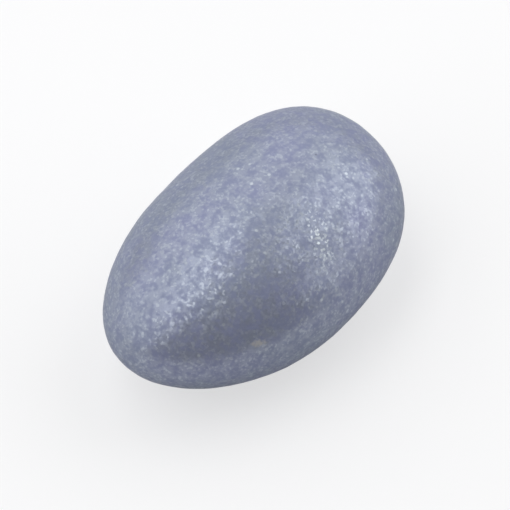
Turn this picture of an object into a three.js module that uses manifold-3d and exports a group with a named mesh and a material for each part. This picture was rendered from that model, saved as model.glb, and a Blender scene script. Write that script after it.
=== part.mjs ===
// A sugared almond: one almond kernel under a smooth, hard sugar shell, closed all round, so the sweet is
// one solid. It lies on its broad side, as it would on a table, on the small flat spot of its underside.
//
// Millimetres, +Z up. The pointed end is at -X and the round end at +X. Seen from above, the side towards -Y
// is the more curved one, and both ends bend a little towards +Y. The origin is below the middle, on the
// surface that the almond lies on.

import * as THREE from 'three';
import { mergeVertices } from 'three/addons/utils/BufferGeometryUtils.js';
import Module from 'manifold-3d';

const { lerp, seededRandom, smoothstep } = THREE.MathUtils;

// Driving dimensions: the size of the finished sweet
const LENGTH = 27.0;
const WIDTH = 17.5;
const THICKNESS = 13.0;
const RESTING_SPOT_DEPTH = 0.12; // how much the flat spot takes off the round underside

// The kernel's form, which the shell follows. A fullness of 2 is an ellipse, and more fills the shoulders.
const POINTED_END_FULLNESS = 2.0;
const ROUND_END_FULLNESS = 2.32;
const TAPER = 0.05; // the share by which the round end is wider and thicker than the middle
const BOW = 0.95; // how far both ends bend sideways from the middle

// The shell's own unevenness: shallow swells and hollows that the sugar leaves as it builds up in layers
const SWELL_COUNT = 30;
const SWELL_LEAST_HEIGHT = 0.05;
const SWELL_MOST_HEIGHT = 0.12;
const SWELL_LEAST_REACH = 1.4;
const SWELL_MOST_REACH = 3.2;
const SWELL_SEED = 41;

// Facets: each of the 20 faces of an icosahedron is cut this many times along its sides
const FACET_CUTS = 17;

const SHELL_COLOUR = 0x8d94ab;

// Moves a direction's point out to the smooth form, before its swells
function setOnForm(point) {
  const { x, y, z } = point;
  const fullness = lerp(POINTED_END_FULLNESS, ROUND_END_FULLNESS, smoothstep(x, -1, 1));
  const reach = (Math.abs(x) ** fullness + Math.hypot(y, z) ** fullness) ** (-1 / fullness);
  const along = x * reach;
  const stout = reach * (1 + TAPER * along);
  return point.set(
    (along * LENGTH) / 2,
    (y * stout * WIDTH) / 2 + BOW * along ** 2,
    (z * stout * THICKNESS) / 2,
  );
}

// The way that a point of the form faces, taken from the ellipsoid of the same size
function facing(point) {
  return new THREE.Vector3(point.x / LENGTH ** 2, point.y / WIDTH ** 2, point.z / THICKNESS ** 2).normalize();
}

// Swells and hollows in turn, at random places that are the same each time
function makeSwells() {
  seededRandom(SWELL_SEED);
  const swells = [];
  for (let i = 0; i < SWELL_COUNT; i++) {
    const height = lerp(SWELL_LEAST_HEIGHT, SWELL_MOST_HEIGHT, seededRandom());
    const reach = lerp(SWELL_LEAST_REACH, SWELL_MOST_REACH, seededRandom());
    const up = lerp(-1, 1, seededRandom());
    const turn = 2 * Math.PI * seededRandom();
    const out = Math.sqrt(1 - up ** 2);
    const centre = setOnForm(new THREE.Vector3(out * Math.cos(turn), out * Math.sin(turn), up));
    swells.push({ centre, reach, height: i % 2 === 0 ? height : -height });
  }
  return swells;
}

// How far the shell stands out from the smooth form at a point
function swellAt(point, swells) {
  let sum = 0;
  for (const { centre, reach, height } of swells) {
    sum += height * Math.exp(-point.distanceToSquared(centre) / (2 * reach ** 2));
  }
  return sum;
}

// The whole almond, round underneath too, brought to its exact size with its lowest point below the surface
function makeRoundAlmond() {
  const geometry = new THREE.IcosahedronGeometry(1, FACET_CUTS);
  const positions = geometry.getAttribute('position');
  const swells = makeSwells();
  const point = new THREE.Vector3();
  for (let i = 0; i < positions.count; i++) {
    setOnForm(point.fromBufferAttribute(positions, i).normalize());
    point.addScaledVector(facing(point), swellAt(point, swells));
    positions.setXYZ(i, point.x, point.y, point.z);
  }
  geometry.center();
  const size = geometry.boundingBox.getSize(new THREE.Vector3());
  const height = THICKNESS + RESTING_SPOT_DEPTH;
  geometry.scale(LENGTH / size.x, WIDTH / size.y, height / size.z);
  geometry.translate(0, 0, height / 2 - RESTING_SPOT_DEPTH);
  return geometry;
}

// What lies under the surface that the almond rests on
function makeGround() {
  const deep = THICKNESS;
  return new THREE.BoxGeometry(2 * LENGTH, 2 * WIDTH, deep).translate(0, 0, -deep / 2);
}

const wasm = await Module();
wasm.setup();

function toSolid(geometry) {
  const bare = geometry.clone();
  bare.deleteAttribute('normal');
  bare.deleteAttribute('uv');
  const merged = mergeVertices(bare);
  return new wasm.Manifold(
    new wasm.Mesh({
      numProp: 3,
      vertProperties: merged.getAttribute('position').array,
      triVerts: new Uint32Array(merged.index.array),
    }),
  );
}

function toGeometry(solid) {
  const mesh = solid.getMesh();
  const geometry = new THREE.BufferGeometry();
  geometry.setAttribute('position', new THREE.BufferAttribute(mesh.vertProperties, 3));
  geometry.setIndex(new THREE.BufferAttribute(mesh.triVerts, 1));
  geometry.computeVertexNormals();
  return geometry;
}

function makeAlmond() {
  const trimmed = toSolid(makeRoundAlmond()).subtract(toSolid(makeGround()));
  const shell = new THREE.MeshStandardMaterial({ color: SHELL_COLOUR, roughness: 0.42, metalness: 0.35 });
  const mesh = new THREE.Mesh(toGeometry(trimmed), shell);
  mesh.name = 'sugared_almond';
  return mesh;
}

const sweet = new THREE.Group();
sweet.add(makeAlmond());

export default sweet;
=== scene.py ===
# A sugared almond with its pearly finish, on a pale floor under soft light. Metres, +Z up. The pointed end
# is at -X, the round end is at +X, and the almond lies on z = 0.

import math

import bpy
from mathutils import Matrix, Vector


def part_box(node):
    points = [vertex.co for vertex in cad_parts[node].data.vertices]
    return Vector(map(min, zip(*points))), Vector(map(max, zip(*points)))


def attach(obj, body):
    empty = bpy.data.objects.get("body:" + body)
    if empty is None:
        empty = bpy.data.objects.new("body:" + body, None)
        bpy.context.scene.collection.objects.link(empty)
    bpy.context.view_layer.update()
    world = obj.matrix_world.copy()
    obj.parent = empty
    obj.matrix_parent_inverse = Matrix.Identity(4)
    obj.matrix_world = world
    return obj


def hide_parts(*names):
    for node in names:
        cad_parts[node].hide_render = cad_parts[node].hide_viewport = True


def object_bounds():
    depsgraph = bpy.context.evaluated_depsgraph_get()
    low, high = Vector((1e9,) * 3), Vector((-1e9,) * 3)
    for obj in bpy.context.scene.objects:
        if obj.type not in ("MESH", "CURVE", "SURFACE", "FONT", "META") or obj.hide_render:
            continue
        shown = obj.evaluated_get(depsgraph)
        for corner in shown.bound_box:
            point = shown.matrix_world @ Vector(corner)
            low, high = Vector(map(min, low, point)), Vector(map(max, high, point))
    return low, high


MM = 0.001


# ---------------------------------------------------------------------------------------- the almond's form


def deselect_all():
    """Leaves nothing selected, as the loaded part comes in selected."""
    if bpy.context.object and bpy.context.object.mode != "OBJECT":
        bpy.ops.object.mode_set(mode="OBJECT")
    bpy.ops.object.select_all(action="DESELECT")


def select_vertices(piece, wanted):
    """Selects the vertices whose place passes the test, and leaves the piece in edit mode."""
    bpy.ops.object.mode_set(mode="EDIT")
    bpy.ops.mesh.select_mode(type="VERT")
    bpy.ops.mesh.select_all(action="DESELECT")
    bpy.ops.object.mode_set(mode="OBJECT")
    for vertex in piece.data.vertices:
        vertex.select = wanted(vertex.co)
    bpy.ops.object.mode_set(mode="EDIT")


def apply_modifier(piece, kind, **settings):
    """Adds a modifier with these settings and applies it."""
    modifier = piece.modifiers.new(kind.title(), kind)
    for name, value in settings.items():
        setattr(modifier, name, value)
    bpy.ops.object.modifier_apply(modifier=modifier.name)


def fit_to_box(piece, low, high):
    """Brings the piece to exactly the size and place of a box."""
    corners = [vertex.co for vertex in piece.data.vertices]
    least = Vector([min(corner[i] for corner in corners) for i in range(3)])
    most = Vector([max(corner[i] for corner in corners) for i in range(3)])
    ratio = [(high[i] - low[i]) / (most[i] - least[i]) for i in range(3)]
    middle = (least + most) / 2
    select_vertices(piece, lambda co: True)
    bpy.ops.transform.resize(value=ratio, center_override=middle)
    bpy.ops.transform.translate(value=(low + high) / 2 - middle)
    bpy.ops.object.mode_set(mode="OBJECT")


# Cuts along each side of the first block, and how often the surface is halved after it has been fitted
BLOCK_CUTS = 15
FINE_HALVINGS = 3

# The kernel's form before it is fitted: both ends bend sideways, and the pointed end is drawn in
END_REACH = 0.82  # the ends start at this share of half the length
END_BEND = 1.1 * MM
POINT_SQUEEZE = 0.8
BEND_FALLOFF = 11 * MM

# Low relief of the sugar: name, size of its waves, height from hollow to crest
RELIEF = (
    ("shell_dents", 2.6 * MM, 0.070 * MM),
    ("shell_pebble", 1.0 * MM, 0.034 * MM),
    ("shell_grit", 0.5 * MM, 0.012 * MM),
)


def block_out_almond(low, high):
    """A rounded block of the almond's length, width and thickness, with even faces all over."""
    size = high - low
    middle = (low + high) / 2
    deselect_all()
    bpy.ops.mesh.primitive_cube_add(size=size.x, location=middle)
    piece = bpy.context.object
    bpy.ops.object.transform_apply(location=True, rotation=True, scale=True)
    bpy.ops.object.mode_set(mode="EDIT")
    bpy.ops.mesh.select_all(action="SELECT")
    bpy.ops.mesh.subdivide(number_cuts=BLOCK_CUTS)
    bpy.ops.transform.tosphere(value=1)
    bpy.ops.object.mode_set(mode="OBJECT")
    fit_to_box(piece, low, high)
    return piece


def shape_ends(piece, low, high):
    """Bends both ends towards +Y and draws the pointed one in."""
    half = (high.x - low.x) / 2
    falloff = {
        "use_proportional_edit": True,
        "proportional_edit_falloff": "SMOOTH",
        "proportional_size": BEND_FALLOFF,
    }
    for side in (-1, 1):
        select_vertices(piece, lambda co: co.x * side > half * END_REACH)
        bpy.ops.transform.translate(value=(0, END_BEND, 0), **falloff)
        bpy.ops.object.mode_set(mode="OBJECT")
    point = Vector((low.x, END_BEND, (low.z + high.z) / 2))
    select_vertices(piece, lambda co: -co.x > half * END_REACH)
    bpy.ops.transform.resize(value=(1, POINT_SQUEEZE, POINT_SQUEEZE), center_override=point, **falloff)
    bpy.ops.object.mode_set(mode="OBJECT")


def add_relief(piece):
    """Raises the dents, ripples and pebbling that the sugar dries with."""
    for name, wave, height in RELIEF:
        texture = bpy.data.textures.new(name, "CLOUDS")
        texture.noise_basis = "IMPROVED_PERLIN"
        texture.noise_scale = wave
        texture.noise_depth = 1
        relief = {"texture": texture, "texture_coords": "LOCAL", "strength": height, "mid_level": 0.5}
        apply_modifier(piece, "DISPLACE", **relief)


def model_almond(node):
    """The sugared almond, fitted over the solid that it stands for."""
    low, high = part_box(node.name)
    piece = block_out_almond(low, high)
    shape_ends(piece, low, high)
    apply_modifier(piece, "SHRINKWRAP", target=node, wrap_method="NEAREST_SURFACEPOINT")
    apply_modifier(piece, "SUBSURF", levels=FINE_HALVINGS, render_levels=FINE_HALVINGS)
    add_relief(piece)
    fit_to_box(piece, low, high)
    select_vertices(piece, lambda co: True)
    bpy.ops.mesh.normals_make_consistent(inside=False)
    bpy.ops.object.mode_set(mode="OBJECT")
    bpy.ops.object.shade_smooth()
    piece.name = "pearly_shell"
    piece.data.name = piece.name
    return piece


# --------------------------------------------------------------------------------------------- node helpers


class Tree:
    """Adds and links the nodes of one material or group."""

    def __init__(self, node_tree):
        self.tree = node_tree

    def add(self, kind, inputs=None, **settings):
        """A node of a kind, with its settings and its input values or links."""
        node = self.tree.nodes.new("ShaderNode" + kind)
        for name, value in settings.items():
            setattr(node, name, value)
        for name, value in (inputs or {}).items():
            self.feed(node.inputs[name], value)
        return node

    def feed(self, socket, value):
        """Links an output to a socket, or sets the socket's own value."""
        if isinstance(value, bpy.types.NodeSocket):
            self.tree.links.new(value, socket)
        else:
            socket.default_value = value

    def math(self, operation, *values):
        """The result of a Math node."""
        node = self.add("Math", operation=operation)
        for socket, value in zip(node.inputs, values):
            self.feed(socket, value)
        return node.outputs[0]

    def vector(self, operation, *values):
        """The result of a Vector Math node, a number where the operation gives one."""
        node = self.add("VectorMath", operation=operation)
        sockets = [socket for socket in node.inputs if socket.name == "Vector"]
        if operation == "SCALE":
            sockets = [node.inputs["Vector"], node.inputs["Scale"]]
        for socket, value in zip(sockets, values):
            self.feed(socket, value)
        return node.outputs["Value" if operation in ("DOT_PRODUCT", "LENGTH") else "Vector"]

    def mix(self, share, first, second):
        """Two colours mixed by a share."""
        node = self.add("Mix", data_type="RGBA")
        for index, value in ((0, share), (6, first), (7, second)):
            self.feed(node.inputs[index], value)
        return node.outputs[2]

    def ramp(self, value, start, end, low=0.0, high=1.0, soft=True):
        """A value brought from one range to another, held at its ends."""
        kind = "SMOOTHSTEP" if soft else "LINEAR"
        node = self.add("MapRange", interpolation_type=kind)
        for name, setting in (
            ("Value", value),
            ("From Min", start),
            ("From Max", end),
            ("To Min", low),
            ("To Max", high),
        ):
            self.feed(node.inputs[name], setting)
        return node.outputs["Result"]

    def noise(self, place, wave, detail, roughness=0.5):
        """Smooth noise whose waves have this size in metres."""
        scale = self.math("DIVIDE", 1.0, wave)
        inputs = {"Vector": place, "Scale": scale, "Detail": detail, "Roughness": roughness}
        return self.add("TexNoise", inputs).outputs["Fac"]


def new_group(name, inputs, outputs):
    """An empty node group with named sockets, and the tree, inlet and outlet to fill it with."""
    group = bpy.data.node_groups.new(name, "ShaderNodeTree")
    for socket, kind, value in inputs:
        made = group.interface.new_socket(socket, in_out="INPUT", socket_type="NodeSocket" + kind)
        if value is not None:
            made.default_value = value
    for socket, kind in outputs:
        group.interface.new_socket(socket, in_out="OUTPUT", socket_type="NodeSocket" + kind)
    inlet = group.nodes.new("NodeGroupInput").outputs
    outlet = group.nodes.new("NodeGroupOutput").inputs
    return group, Tree(group), inlet, outlet


def place_group(tree, group, **inputs):
    """Puts a group in a material, with the material's own values, and gives its outputs."""
    node = tree.add("Group", node_tree=group)
    for name, value in inputs.items():
        tree.feed(node.inputs[name.replace("_", " ")], value)
    return node.outputs


# -------------------------------------------------------------------------------------------------- effects


def cloud_group():
    """Soft patches: 0 in one kind of patch, 1 in the other."""
    group, tree, inlet, outlet = new_group(
        "soft patches",
        [("Place", "Vector", None), ("Patch size", "Float", 3 * MM), ("Edge", "Float", 0.15)],
        [("Patch", "Float")],
    )
    cloud = tree.noise(inlet["Place"], inlet["Patch size"], detail=3.0, roughness=0.55)
    start = tree.math("SUBTRACT", 0.5, inlet["Edge"])
    end = tree.math("ADD", 0.5, inlet["Edge"])
    tree.feed(outlet["Patch"], tree.ramp(cloud, start, end))
    return group


# Pearl dust lies where its noise is above a level, which falls as the cover grows
CLUMP_WEIGHT = 0.6
GRAIN_WEIGHT = 0.4
DUST_LEVEL = 0.38
DUST_LEVEL_RISE = 0.24
DUST_SOFTNESS = 0.17


def pearl_dust_group():
    """How thickly the pearl dust lies: 0 where bare sugar shows, 1 where it is thickest."""
    group, tree, inlet, outlet = new_group(
        "pearl dust",
        [
            ("Place", "Vector", None),
            ("Clump size", "Float", 0.6 * MM),
            ("Grain size", "Float", 0.15 * MM),
            ("Cover", "Float", 0.5),
        ],
        [("Dust", "Float")],
    )
    clumps = tree.noise(inlet["Place"], inlet["Clump size"], detail=1.0)
    grains = tree.noise(inlet["Place"], inlet["Grain size"], detail=1.0)
    clump_part = tree.math("MULTIPLY", clumps, CLUMP_WEIGHT)
    grain_part = tree.math("MULTIPLY", grains, GRAIN_WEIGHT)
    unevenness = tree.math("ADD", clump_part, grain_part)
    bare = tree.math("SUBTRACT", 1.0, inlet["Cover"])
    level = tree.math("ADD", DUST_LEVEL, tree.math("MULTIPLY", bare, DUST_LEVEL_RISE))
    start = tree.math("SUBTRACT", level, DUST_SOFTNESS)
    end = tree.math("ADD", level, DUST_SOFTNESS)
    tree.feed(outlet["Dust"], tree.ramp(unevenness, start, end))
    return group


EVEN_LEAN = (0.5, 0.5, 0.5)  # the cell colour of a flake that doesn't lean


def flakes_group():
    """Flat mica flakes, each at its own slight tilt, and how brightly each one glints."""
    group, tree, inlet, outlet = new_group(
        "mica flakes",
        [
            ("Place", "Vector", None),
            ("Flake size", "Float", 0.1 * MM),
            ("Tilt", "Float", 0.2),
            ("Dust", "Float", 1.0),
        ],
        [("Normal", "Vector"), ("Glint", "Float")],
    )
    scale = tree.math("DIVIDE", 1.0, inlet["Flake size"])
    cells = tree.add("TexVoronoi", {"Vector": inlet["Place"], "Scale": scale}, feature="F1")
    lean = tree.vector("SUBTRACT", cells.outputs["Color"], EVEN_LEAN)
    amount = tree.math("MULTIPLY", inlet["Tilt"], inlet["Dust"])
    surface = tree.add("NewGeometry").outputs["Normal"]
    leaning = tree.vector("ADD", surface, tree.vector("SCALE", lean, amount))
    tree.feed(outlet["Normal"], tree.vector("NORMALIZE", leaning))
    glint = tree.add("SeparateColor", {"Color": cells.outputs["Color"]}).outputs["Green"]
    tree.feed(outlet["Glint"], glint)
    return group


SPECK_CORE = 0.35  # the share of a speck's radius inside which it is full


def specks_group():
    """Sparse round specks: 1 in a speck and 0 outside."""
    group, tree, inlet, outlet = new_group(
        "sparse specks",
        [
            ("Place", "Vector", None),
            ("Spacing", "Float", 1.5 * MM),
            ("Speck size", "Float", 0.2 * MM),
            ("Share", "Float", 0.3),
        ],
        [("Speck", "Float")],
    )
    scale = tree.math("DIVIDE", 1.0, inlet["Spacing"])
    cells = tree.add("TexVoronoi", {"Vector": inlet["Place"], "Scale": scale}, feature="F1")
    reach = tree.math("MULTIPLY", inlet["Speck size"], scale)
    core = tree.math("MULTIPLY", reach, SPECK_CORE)
    inside = tree.ramp(cells.outputs["Distance"], core, reach, 1.0, 0.0)
    pick = tree.add("SeparateColor", {"Color": cells.outputs["Color"]}).outputs["Red"]
    chosen = tree.math("LESS_THAN", pick, inlet["Share"])
    tree.feed(outlet["Speck"], tree.math("MULTIPLY", inside, chosen))
    return group


# A mark's edge: the size of its raggedness, and where the mark starts to fade and is gone, in mark sizes
RAGGED_SIZE = 0.25 * MM
MARK_FADES_FROM = 0.1
MARK_FADES_TO = 0.6


def ragged_mark_group():
    """A small mark on the surface: 1 in its middle and 0 outside its ragged edge."""
    group, tree, inlet, outlet = new_group(
        "ragged mark",
        [
            ("Place", "Vector", None),
            ("Centre", "Vector", None),
            ("Turn", "Vector", None),
            ("Size", "Vector", None),
            ("Raggedness", "Float", 1.0),
        ],
        [("Mark", "Float")],
    )
    sockets = {
        "Vector": inlet["Place"],
        "Location": inlet["Centre"],
        "Rotation": inlet["Turn"],
        "Scale": inlet["Size"],
    }
    from_centre = tree.add("Mapping", sockets, vector_type="TEXTURE").outputs["Vector"]
    distance = tree.vector("LENGTH", from_centre)
    cloud = tree.noise(inlet["Place"], RAGGED_SIZE, detail=4.0, roughness=0.7)
    ragged = tree.math("MULTIPLY", tree.math("SUBTRACT", cloud, 0.5), inlet["Raggedness"])
    reach = tree.math("ADD", distance, ragged)
    tree.feed(outlet["Mark"], tree.ramp(reach, MARK_FADES_FROM, MARK_FADES_TO, 1.0, 0.0))
    return group


# ------------------------------------------------------------------------------------------------ materials

SLATE = (0.167, 0.193, 0.310, 1)
LAVENDER = (0.175, 0.193, 0.343, 1)
PEARL = (0.425, 0.468, 0.52, 1)
MICA = (0.65, 0.715, 0.78, 1)
# The pits' colour is painted shade, the dark that falls in their hollows
PIT_SHADE = (0.05, 0.055, 0.09, 1)
PALE_SUGAR = (0.38, 0.375, 0.385, 1)

# In each pair, the value where the sugar is bare and the value where the pearl dust is thickest
PEARL_SHARE = (0.14, 0.37)
GLINT_SHARE = (0.05, 0.21)
METALLIC = (0.24, 0.45)
ROUGHNESS = (0.40, 0.345)

# The flakes that glint, how much smoother they are, and the sheen of the sugar itself
GLINT_START = 0.55
FLAKE_SMOOTHNESS = 0.06
SHEEN_LEVEL = 0.15
SHEEN_EDGE_TINT = (0.30, 0.33, 0.40, 1)

# How much of their own colour and metallic look the bigger flakes and the scuff have, and how strongly the
# pits are painted dark as shade
SPARKLE_SHARE = 0.45
SPARKLE_METALLIC = 0.2
PIT_SHADE_SHARE = 0.7
SCUFF_SHARE = 0.8
SCUFF_METALLIC_LEFT = 0.3

# The finest relief: its grains, and the depth of a pit in grain heights
GRAIN_SIZE = 0.2 * MM
GRAIN_HEIGHT = 0.012 * MM
GRAIN_STRENGTH = 0.35
PIT_DEPTH = 1.5

# The slate and lavender patches are moved by this much, which brings a lavender one to the round end
PATCH_SHIFT = (26 * MM, 23 * MM, 13 * MM)

# The streak where the pearl dust lies thicker, high on the side towards -Y. It is partly thicker dust and
# partly a painted highlight: its extra brightness stands where a highlight falls.
HIGHLIGHT_STREAK_PLACE = (1.75 * MM, -4.9 * MM, 11.8 * MM)
HIGHLIGHT_STREAK_TURN = (0, math.radians(-24), math.radians(61))
HIGHLIGHT_STREAK_SIZE = (4.6 * MM, 1.7 * MM, 1.7 * MM)
HIGHLIGHT_STREAK_GLINT_SHARE = 0.65

# The one scuff, on the side towards -Y, half-way to the pointed end
SCUFF_PLACE = (-6.9 * MM, -6.35 * MM, 8.9 * MM)
SCUFF_TURN = (0, 0, math.radians(-49))
SCUFF_SIZE = (1.6 * MM, 0.7 * MM, 0.7 * MM)


def pearly_sugar():
    """Hard sugar in slate and lavender, dusted with pearl."""
    material = bpy.data.materials.new("pearly_sugar")
    material.use_nodes = True
    tree = Tree(material.node_tree)
    shader = material.node_tree.nodes["Principled BSDF"]
    place = tree.add("TexCoord").outputs["Object"]
    shifted = tree.vector("ADD", place, PATCH_SHIFT)
    specks = specks_group()
    marks = ragged_mark_group()

    patches = place_group(tree, cloud_group(), Place=shifted, Patch_size=5.5 * MM, Edge=0.16)["Patch"]
    # The streak is thicker pearl dust, and partly a painted highlight
    dust_and_highlight_streak = place_group(
        tree, marks, Place=place, Centre=HIGHLIGHT_STREAK_PLACE, Turn=HIGHLIGHT_STREAK_TURN, Size=HIGHLIGHT_STREAK_SIZE, Raggedness=0.9
    )["Mark"]
    scuff = place_group(
        tree, marks, Place=place, Centre=SCUFF_PLACE, Turn=SCUFF_TURN, Size=SCUFF_SIZE, Raggedness=1.4
    )["Mark"]
    sifted = place_group(
        tree, pearl_dust_group(), Place=place, Clump_size=0.7 * MM, Grain_size=0.26 * MM, Cover=0.6
    )["Dust"]
    dust = tree.math("MAXIMUM", sifted, dust_and_highlight_streak)
    flakes = place_group(tree, flakes_group(), Place=place, Flake_size=0.18 * MM, Tilt=0.16, Dust=dust)
    sparkles = place_group(
        tree, specks, Place=place, Spacing=1.4 * MM, Speck_size=0.18 * MM, Share=0.5
    )["Speck"]
    pits = place_group(
        tree, specks, Place=place, Spacing=3.2 * MM, Speck_size=0.16 * MM, Share=0.35
    )["Speck"]

    def by_dust(pair):
        return tree.ramp(dust, 0.0, 1.0, *pair)

    sugar = tree.mix(patches, SLATE, LAVENDER)
    dusted = tree.mix(by_dust(PEARL_SHARE), sugar, PEARL)
    bright_flake = tree.ramp(flakes["Glint"], GLINT_START, 1.0)
    # The streak's extra bright flakes are partly a painted highlight
    glint_share = tree.math("ADD", by_dust(GLINT_SHARE), tree.math("MULTIPLY", dust_and_highlight_streak, HIGHLIGHT_STREAK_GLINT_SHARE))
    glinting = tree.mix(tree.math("MULTIPLY", bright_flake, glint_share), dusted, MICA)
    sparkling = tree.mix(tree.math("MULTIPLY", sparkles, SPARKLE_SHARE), glinting, MICA)
    # Painted shade: the pits are darkened where shade falls in their hollows
    shaded_in_pits = tree.mix(tree.math("MULTIPLY", pits, PIT_SHADE_SHARE), sparkling, PIT_SHADE)
    scuffed = tree.mix(tree.math("MULTIPLY", scuff, SCUFF_SHARE), shaded_in_pits, PALE_SUGAR)
    tree.feed(shader.inputs["Base Color"], scuffed)

    pearly = tree.math("ADD", by_dust(METALLIC), tree.math("MULTIPLY", sparkles, SPARKLE_METALLIC))
    pearl_left = tree.ramp(scuff, 0.0, 1.0, 1.0, SCUFF_METALLIC_LEFT, soft=False)
    tree.feed(shader.inputs["Metallic"], tree.math("MULTIPLY", pearly, pearl_left))

    smoother = tree.math("MULTIPLY", bright_flake, FLAKE_SMOOTHNESS)
    tree.feed(shader.inputs["Roughness"], tree.math("SUBTRACT", by_dust(ROUGHNESS), smoother))

    grain = tree.noise(place, GRAIN_SIZE, detail=2.0)
    pitted_grain = tree.math("SUBTRACT", grain, tree.math("MULTIPLY", pits, PIT_DEPTH))
    relief = {
        "Height": tree.math("SUBTRACT", pitted_grain, scuff),
        "Distance": GRAIN_HEIGHT,
        "Strength": GRAIN_STRENGTH,
        "Normal": flakes["Normal"],
    }
    tree.feed(shader.inputs["Normal"], tree.add("Bump", relief).outputs["Normal"])
    shader.inputs["Specular IOR Level"].default_value = SHEEN_LEVEL
    shader.inputs["Specular Tint"].default_value = SHEEN_EDGE_TINT
    return material


def floor_material():
    """A matt white table top. The camera sees it brightened, so its shadows show lightly."""
    material = bpy.data.materials.new("white_table")
    material.use_nodes = True
    tree = Tree(material.node_tree)
    shader = material.node_tree.nodes["Principled BSDF"]
    seen = tree.add("LightPath").outputs["Is Camera Ray"]
    tree.feed(shader.inputs["Base Color"], tree.mix(seen, FLOOR_BOUNCE, FLOOR_SHOWN))
    shader.inputs["Roughness"].default_value = 1
    shader.inputs["Specular IOR Level"].default_value = 0
    shader.inputs["Emission Color"].default_value = WHITE
    tree.feed(shader.inputs["Emission Strength"], tree.math("MULTIPLY", seen, FLOOR_LIFT))
    return material


# ---------------------------------------------------------------------------------------------------- stage

VIEW_AZIMUTH = -48.9
VIEW_ELEVATION = 57.0
VIEW_DISTANCE = 0.47
VIEW_LENS = 440

# The floor shows the first colour, brightened by the lift, and throws light back in the second one
FLOOR_SIZE = 4.0
FLOOR_SHOWN = (0.30, 0.305, 0.325, 1)
FLOOR_BOUNCE = (0.81, 0.81, 0.82, 1)
FLOOR_LIFT = 0.61

# Softboxes: name, degrees round from the camera towards its right, degrees above the table, distance,
# width, height, brightness
SOFTBOXES = (
    ("top", -100, 75, 0.45, 0.48, 0.19, 2.75),
    ("left", -80, 32.5, 0.45, 0.68, 0.48, 1.5),
    ("right", 121, 38, 0.45, 0.30, 0.51, 2.25),
    ("right_low", 85, 21.5, 0.45, 0.27, 0.31, 1.55),
    ("back", 187, 33.5, 0.45, 0.71, 0.39, 1.23),
)
SOFTBOX_COLOUR = (1.0, 0.985, 0.935)

WHITE = (1, 1, 1, 1)
BACKDROP = (0.95, 0.95, 0.96, 1)
ROOM_LIGHT = 0.09


def direction(azimuth, elevation):
    """The way from the object to a place at this azimuth and elevation."""
    a = math.radians(azimuth)
    e = math.radians(elevation)
    return Vector((math.sin(a) * math.cos(e), -math.cos(a) * math.cos(e), math.sin(e)))


def aim(thing, place, target):
    """Puts a camera or light at a place, facing the target."""
    thing.location = place
    thing.rotation_mode = "QUATERNION"
    thing.rotation_quaternion = (target - place).to_track_quat("-Z", "Y")


def add_camera(target):
    data = bpy.data.cameras.new("camera")
    data.lens = VIEW_LENS
    camera = bpy.data.objects.new("camera", data)
    bpy.context.scene.collection.objects.link(camera)
    aim(camera, target + direction(VIEW_AZIMUTH, VIEW_ELEVATION) * VIEW_DISTANCE, target)
    data.clip_start = 0.01
    data.clip_end = 10
    bpy.context.scene.camera = camera


def add_softbox(name, turn, elevation, distance, width, height, brightness, target):
    """A soft rectangular light. Its power follows from its size and brightness."""
    data = bpy.data.lights.new(name, "AREA")
    data.shape = "RECTANGLE"
    data.size = width
    data.size_y = height
    data.energy = brightness * width * height * math.pi
    data.color = SOFTBOX_COLOUR
    light = bpy.data.objects.new(name, data)
    light.visible_camera = False
    bpy.context.scene.collection.objects.link(light)
    aim(light, target + direction(VIEW_AZIMUTH + turn, elevation) * distance, target)


def add_floor():
    deselect_all()
    bpy.ops.mesh.primitive_plane_add(size=FLOOR_SIZE)
    floor = bpy.context.object
    floor.name = "floor"
    floor.data.materials.append(floor_material())


def add_room():
    """Dim light from all round, and a pale backdrop for the camera."""
    world = bpy.data.worlds.new("room")
    world.use_nodes = True
    bpy.context.scene.world = world
    tree = Tree(world.node_tree)
    background = world.node_tree.nodes["Background"]
    seen = tree.add("LightPath").outputs["Is Camera Ray"]
    tree.feed(background.inputs["Color"], tree.mix(seen, WHITE, BACKDROP))
    tree.feed(background.inputs["Strength"], tree.ramp(seen, 0, 1, ROOM_LIGHT, 1.0, soft=False))


def set_stage(target):
    add_floor()
    add_room()
    for softbox in SOFTBOXES:
        add_softbox(*softbox, target)
    add_camera(target)
    view = bpy.context.scene.view_settings
    view.view_transform = "Standard"
    view.look = "None"


# -------------------------------------------------------------------------------------- putting it together

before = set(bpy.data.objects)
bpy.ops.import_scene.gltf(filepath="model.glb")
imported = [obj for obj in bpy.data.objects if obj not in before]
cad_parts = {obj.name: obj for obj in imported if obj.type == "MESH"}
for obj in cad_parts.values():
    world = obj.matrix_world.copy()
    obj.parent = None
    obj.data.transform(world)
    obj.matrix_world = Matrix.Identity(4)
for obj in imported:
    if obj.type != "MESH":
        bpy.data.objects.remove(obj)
cad_low, cad_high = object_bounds()

almond = model_almond(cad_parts["sugared_almond"])
almond.data.materials.clear()
almond.data.materials.append(pearly_sugar())
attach(almond, "root")
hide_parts("sugared_almond")

set_stage((cad_low + cad_high) / 2)
